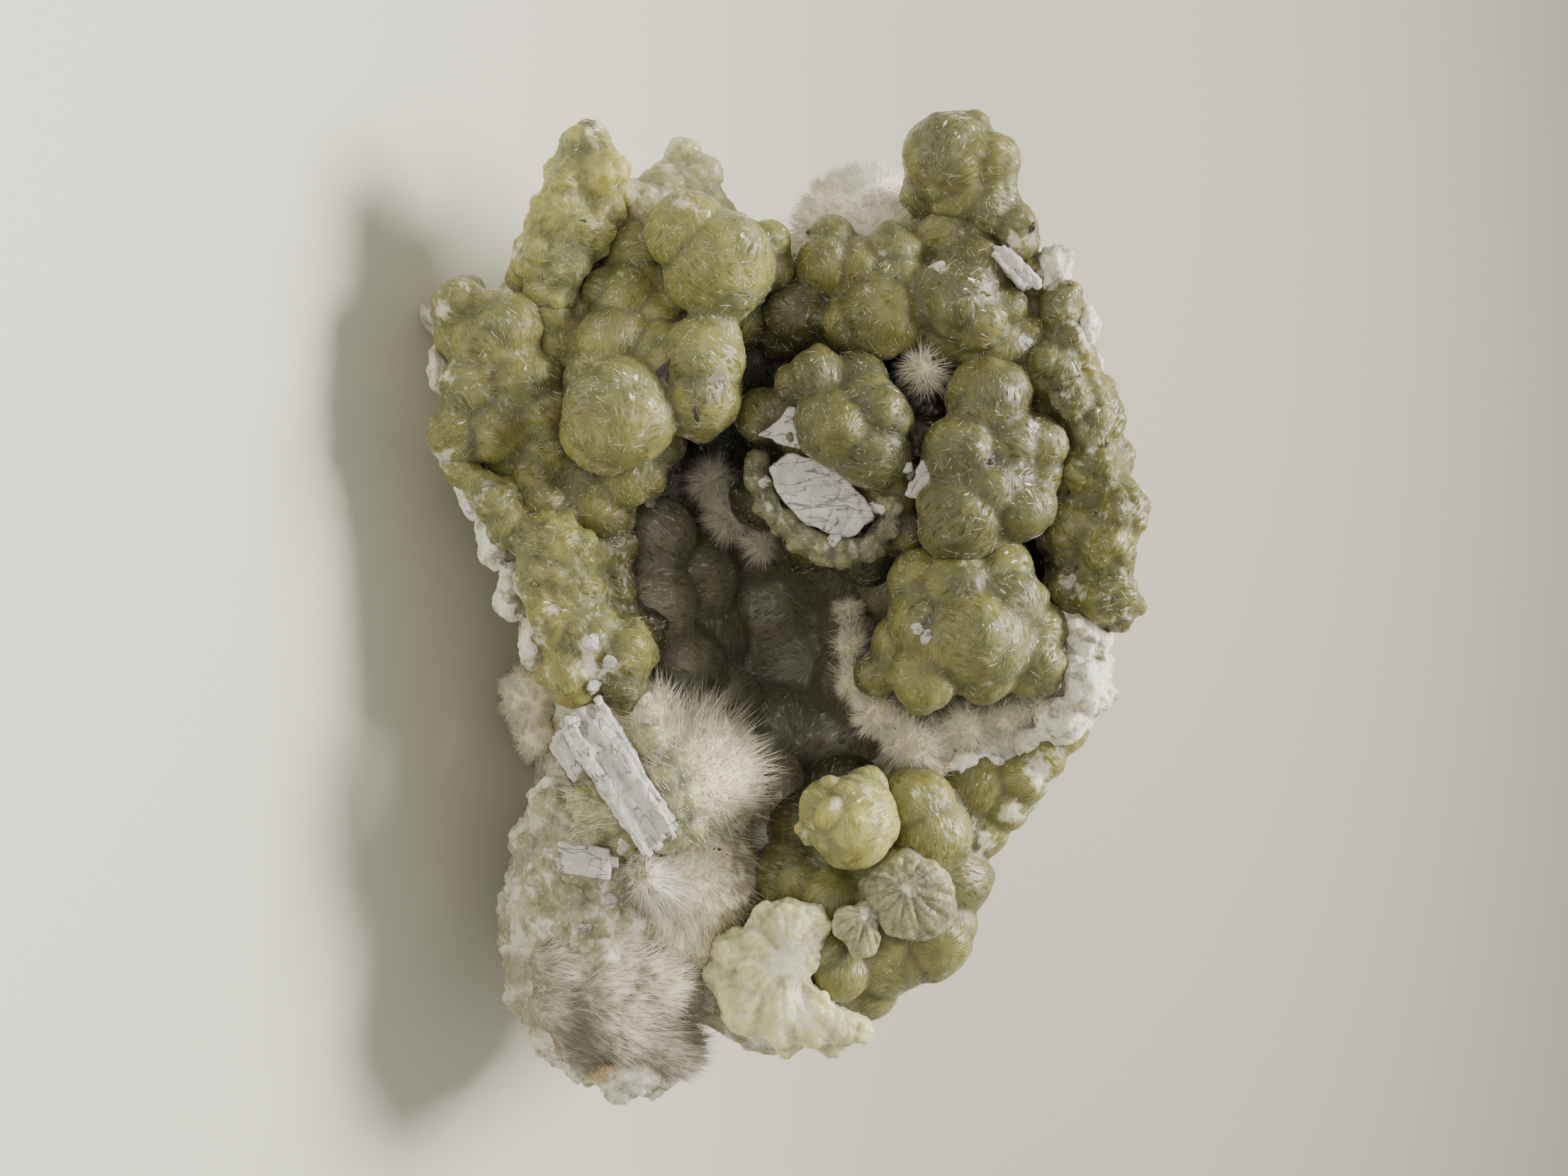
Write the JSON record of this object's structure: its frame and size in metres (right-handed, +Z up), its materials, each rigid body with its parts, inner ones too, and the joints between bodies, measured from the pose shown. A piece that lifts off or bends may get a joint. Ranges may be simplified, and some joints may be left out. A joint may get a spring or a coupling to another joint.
{
  "type": "mineral specimen",
  "caption": "Rough vug specimen: green botryoidal prehnite crust on pale matrix with fibrous okenite puffballs and chalky laumontite blades.",
  "frame": {"origin": "on the resting surface, under the middle of the specimen's box", "axes": "+X along the specimen's length, +Y from its broken face to its back, +Z up"},
  "size_m": [0.0921, 0.058, 0.0636],
  "materials": {
    "prehnite": "waxy, slightly see-through green",
    "pale_prehnite": "pale, radiating, silky",
    "okenite": "cream, fibrous, matt",
    "laumontite": "chalky white, cracked",
    "matrix": "rough, powdery"
  },
  "bodies": {
    "root": {"matrix": "matrix", "prehnite_crust": "prehnite", "prehnite_bottom_cluster": "prehnite", "prehnite_bud": "prehnite", "prehnite_fan": "pale_prehnite", "prehnite_lining": "prehnite", "okenite_front_ball": "okenite", "okenite_bottom_fur": "okenite", "okenite_right_mat": "okenite", "okenite_cavity_tuft": "okenite", "okenite_small_tuft": "okenite", "okenite_back_ball": "okenite", "okenite_base_ball": "okenite", "laumontite_long_prism": "laumontite", "laumontite_short_prism": "laumontite", "laumontite_flat_prism": "laumontite", "laumontite_centre_cast": "laumontite", "laumontite_upper_flake": "laumontite", "laumontite_right_flake": "laumontite", "laumontite_top_bundle": "laumontite"}
  },
  "joints": []
}
